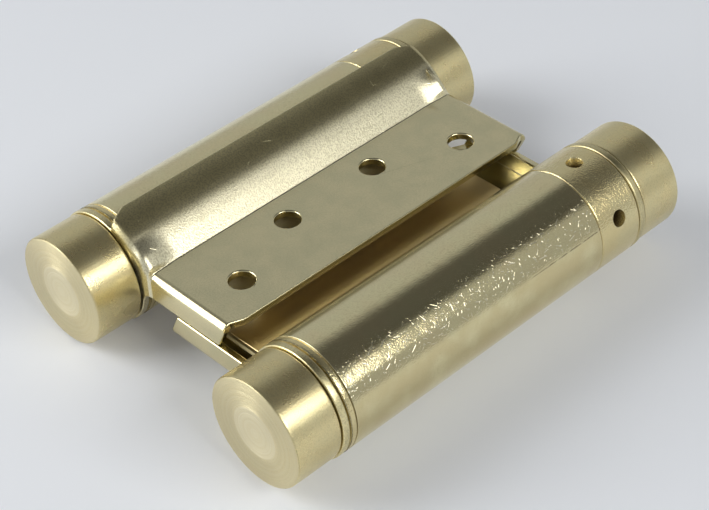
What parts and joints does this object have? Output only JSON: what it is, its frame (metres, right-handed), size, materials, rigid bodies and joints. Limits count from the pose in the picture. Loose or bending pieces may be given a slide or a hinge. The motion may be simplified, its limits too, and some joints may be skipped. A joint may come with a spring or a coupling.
{
  "type": "double action spring hinge",
  "caption": "Double action spring hinge: rolled sheet barrels on a common web, each with its own sprung leaf to screw down, a drilled tension collar and turned end caps.",
  "frame": {"origin": "middle of the hinge, on the web halfway between the barrels and between its two ends", "axes": "+X from the left barrel to the right one, +Y along the barrels towards the tension collars, +Z out of the upper leaf"},
  "size_m": [0.0724, 0.0942, 0.025],
  "materials": {
    "plated_sheet": "pale brass plating on sheet steel, satin",
    "plated_turned": "pale brass plating on turned steel",
    "bare_steel": "plain drawn steel"
  },
  "bodies": {
    "frame": {"middle_frame": "plated_sheet", "left_end_plug": "plated_turned", "right_end_plug": "plated_turned", "left_torsion_spring": "bare_steel", "right_torsion_spring": "bare_steel"},
    "upper_leaf_set": {"upper_leaf": "plated_sheet", "left_spindle": "bare_steel", "left_near_cap": "plated_turned", "left_far_cap": "plated_turned"},
    "lower_leaf_set": {"lower_leaf": "plated_sheet", "right_spindle": "bare_steel", "right_near_cap": "plated_turned", "right_far_cap": "plated_turned"},
    "left_collar": {"left_tension_collar": "plated_turned"},
    "right_collar": {"right_tension_collar": "plated_turned"}
  },
  "joints": [
    {"name": "upper_leaf_swing", "type": "hinge", "parent": "frame", "child": "upper_leaf_set", "pos_m": [-0.02535, 0, 0], "axis": [0, -1, 0], "range_deg": [0, 180], "stiffness_Nm_per_rad": 0.76, "springref_deg": -20.05, "deforming": ["left_torsion_spring"]},
    {"name": "left_collar_turn", "type": "hinge", "parent": "upper_leaf_set", "child": "left_collar", "pos_m": [-0.02535, 0, 0], "axis": [0, -1, 0], "range_deg": [0, 216], "deforming": ["left_torsion_spring"]},
    {"name": "lower_leaf_swing", "type": "hinge", "parent": "frame", "child": "lower_leaf_set", "pos_m": [0.02535, 0, 0], "axis": [0, -1, 0], "range_deg": [0, 180], "stiffness_Nm_per_rad": 0.76, "springref_deg": -20.05, "deforming": ["right_torsion_spring"]},
    {"name": "right_collar_turn", "type": "hinge", "parent": "lower_leaf_set", "child": "right_collar", "pos_m": [0.02535, 0, 0], "axis": [0, -1, 0], "range_deg": [0, 216], "deforming": ["right_torsion_spring"]}
  ]
}
